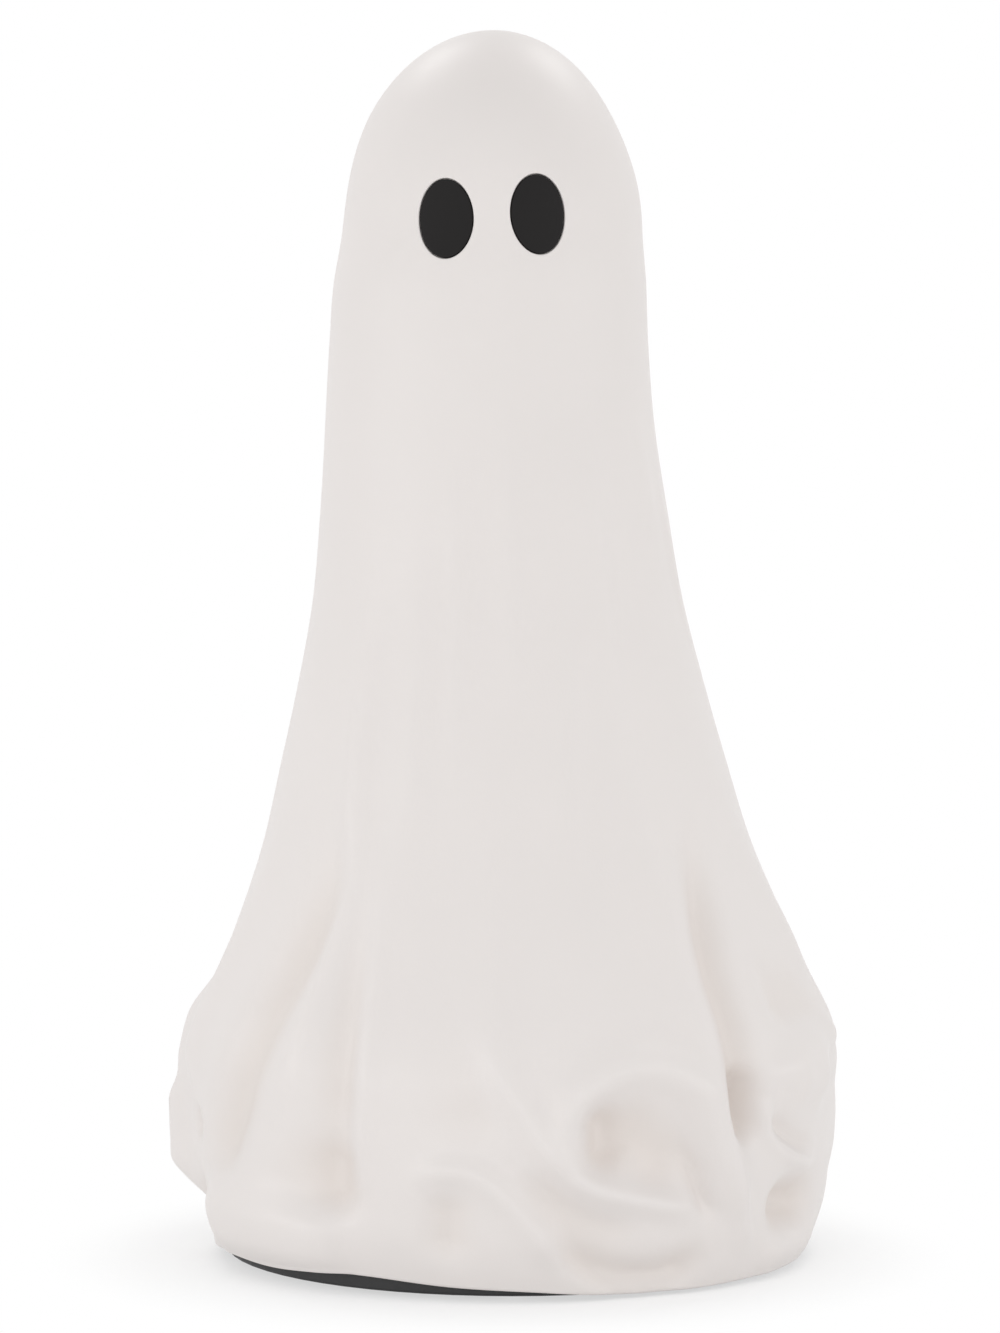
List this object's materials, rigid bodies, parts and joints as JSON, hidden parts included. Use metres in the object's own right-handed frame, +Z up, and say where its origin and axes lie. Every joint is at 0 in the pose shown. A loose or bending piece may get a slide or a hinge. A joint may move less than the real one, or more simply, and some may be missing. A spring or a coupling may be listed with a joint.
{
  "type": "ghost figure",
  "caption": "Battery-lit table ghost: hollow moulded white draped body, black oval eyes, black base with battery box, switch and lamp.",
  "frame": {"origin": "on the table, under the middle of the figure's box", "axes": "+Z up, the ghost faces -Y, +X to the right of someone who faces it"},
  "size_m": [0.2305, 0.2306, 0.42],
  "materials": {
    "body_white": "satin, slightly translucent",
    "eye_black": "satin black",
    "base_black": "satin black, fine moulded grain",
    "foot_rubber": "matte",
    "steel": "plated",
    "cell_jacket": "satin sleeve",
    "lamp_plastic": "satin",
    "cap_frosted": "frosted",
    "board_green": "solder mask",
    "board_brown": "bare laminate",
    "led_resin": "clear resin",
    "resistor_body": "lacquer",
    "wire_red": "insulation",
    "wire_black": "insulation"
  },
  "bodies": {
    "root": {"ghost_body": "body_white", "right_eye": "eye_black", "left_eye": "eye_black", "base": "base_black", "switch_can": "steel", "switch_board": "board_brown", "lamp_post": "lamp_plastic", "lamp_cap": "cap_frosted", "lamp_board": "board_green", "led_resistor": "resistor_body", "battery_wire_red": "wire_red", "switch_wire_red": "wire_red", "battery_wire_black": "wire_black", "base_screw_1": "steel", "base_screw_2": "steel", "base_screw_3": "steel", "base_screw_4": "steel", "foot_1": "foot_rubber", "foot_2": "foot_rubber", "foot_3": "foot_rubber", "foot_4": "foot_rubber", "battery_cell_1": "cell_jacket", "battery_cell_2": "cell_jacket", "battery_cell_3": "cell_jacket", "contact_plate_1": "steel", "contact_plate_2": "steel", "contact_plate_3": "steel", "contact_plate_4": "steel", "battery_spring_1": "steel", "battery_spring_2": "steel", "battery_spring_3": "steel", "switch_screw_1": "steel", "switch_screw_2": "steel", "post_screw_1": "steel", "post_screw_2": "steel", "board_screw_1": "steel", "board_screw_2": "steel", "led_1": "led_resin", "led_2": "led_resin", "led_3": "led_resin"},
    "battery_door": {"battery_door": "base_black", "battery_door_screw": "steel"},
    "switch_knob": {"switch_knob": "base_black"}
  },
  "joints": [
    {"name": "battery_door_hinge", "type": "hinge", "parent": "root", "child": "battery_door", "pos_m": [0.004, -0.0244, 0.0015], "axis": [-1, 0, 0], "range_deg": [0, 75]},
    {"name": "switch_slide", "type": "slide", "parent": "root", "child": "switch_knob", "axis": [0, 1, 0], "range_m": [-0.0025, 0.0025]}
  ]
}
